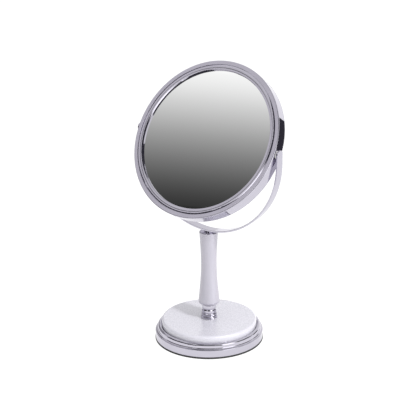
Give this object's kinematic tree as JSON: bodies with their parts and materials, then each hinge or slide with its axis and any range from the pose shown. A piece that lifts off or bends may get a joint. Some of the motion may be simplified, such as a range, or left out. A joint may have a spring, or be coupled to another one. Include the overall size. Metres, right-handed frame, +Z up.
{
  "type": "pedestal vanity mirror",
  "caption": "Free-standing double-sided round mirror that turns in a chrome U-shaped yoke on an hourglass stem and a stepped round base.",
  "frame": {"origin": "centre of the base's underside, on the surface it stands on", "axes": "+Z up along the stem, +X along the pivot line to the right leg of the yoke, the plane mirror faces -Y and leans back"},
  "size_m": [0.183, 0.1206, 0.3078],
  "materials": {
    "chrome": "polished",
    "pearl_inlay": "pearl gloss",
    "pearl_stem": "satin pearl",
    "foot_rubber": "matte",
    "ballast_iron": "as cast",
    "cover_plastic": "matte",
    "frame_plastic": "matte",
    "zinc_steel": "zinc plated",
    "brass": "machined",
    "nylon": "natural",
    "mirror_glass": "silvered",
    "foam": "soft"
  },
  "bodies": {
    "stand": {"foot_ring": "foot_rubber", "base_shell": "chrome", "ballast_plate": "ballast_iron", "bottom_cover": "cover_plastic", "inlay_disc": "pearl_inlay", "base_washer": "zinc_steel", "lock_washer": "zinc_steel", "base_nut": "zinc_steel", "tie_rod": "zinc_steel", "neck_gasket": "nylon", "neck": "chrome", "stem_gasket": "nylon", "stem_sleeve": "pearl_stem", "core_tube": "zinc_steel", "coupling_nut": "brass", "stem_top_cap": "chrome", "yoke_boss": "chrome", "yoke": "chrome", "pivot_pin_left": "chrome", "pivot_pin_right": "chrome", "friction_washer_left": "zinc_steel", "friction_washer_right": "zinc_steel"},
    "mirror_head": {"rim_band": "chrome", "carrier_ring": "frame_plastic", "carrier_plate": "frame_plastic", "front_bezel": "chrome", "rear_bezel": "chrome", "front_glass": "mirror_glass", "front_pad": "foam", "rear_glass": "mirror_glass", "rear_pad": "foam", "pivot_bush_left": "nylon", "pivot_bush_right": "nylon"}
  },
  "joints": [
    {"name": "head_tilt", "type": "hinge", "parent": "stand", "child": "mirror_head", "pos_m": [0, 0, 0.2295], "axis": [1, 0, 0], "continuous": true}
  ]
}
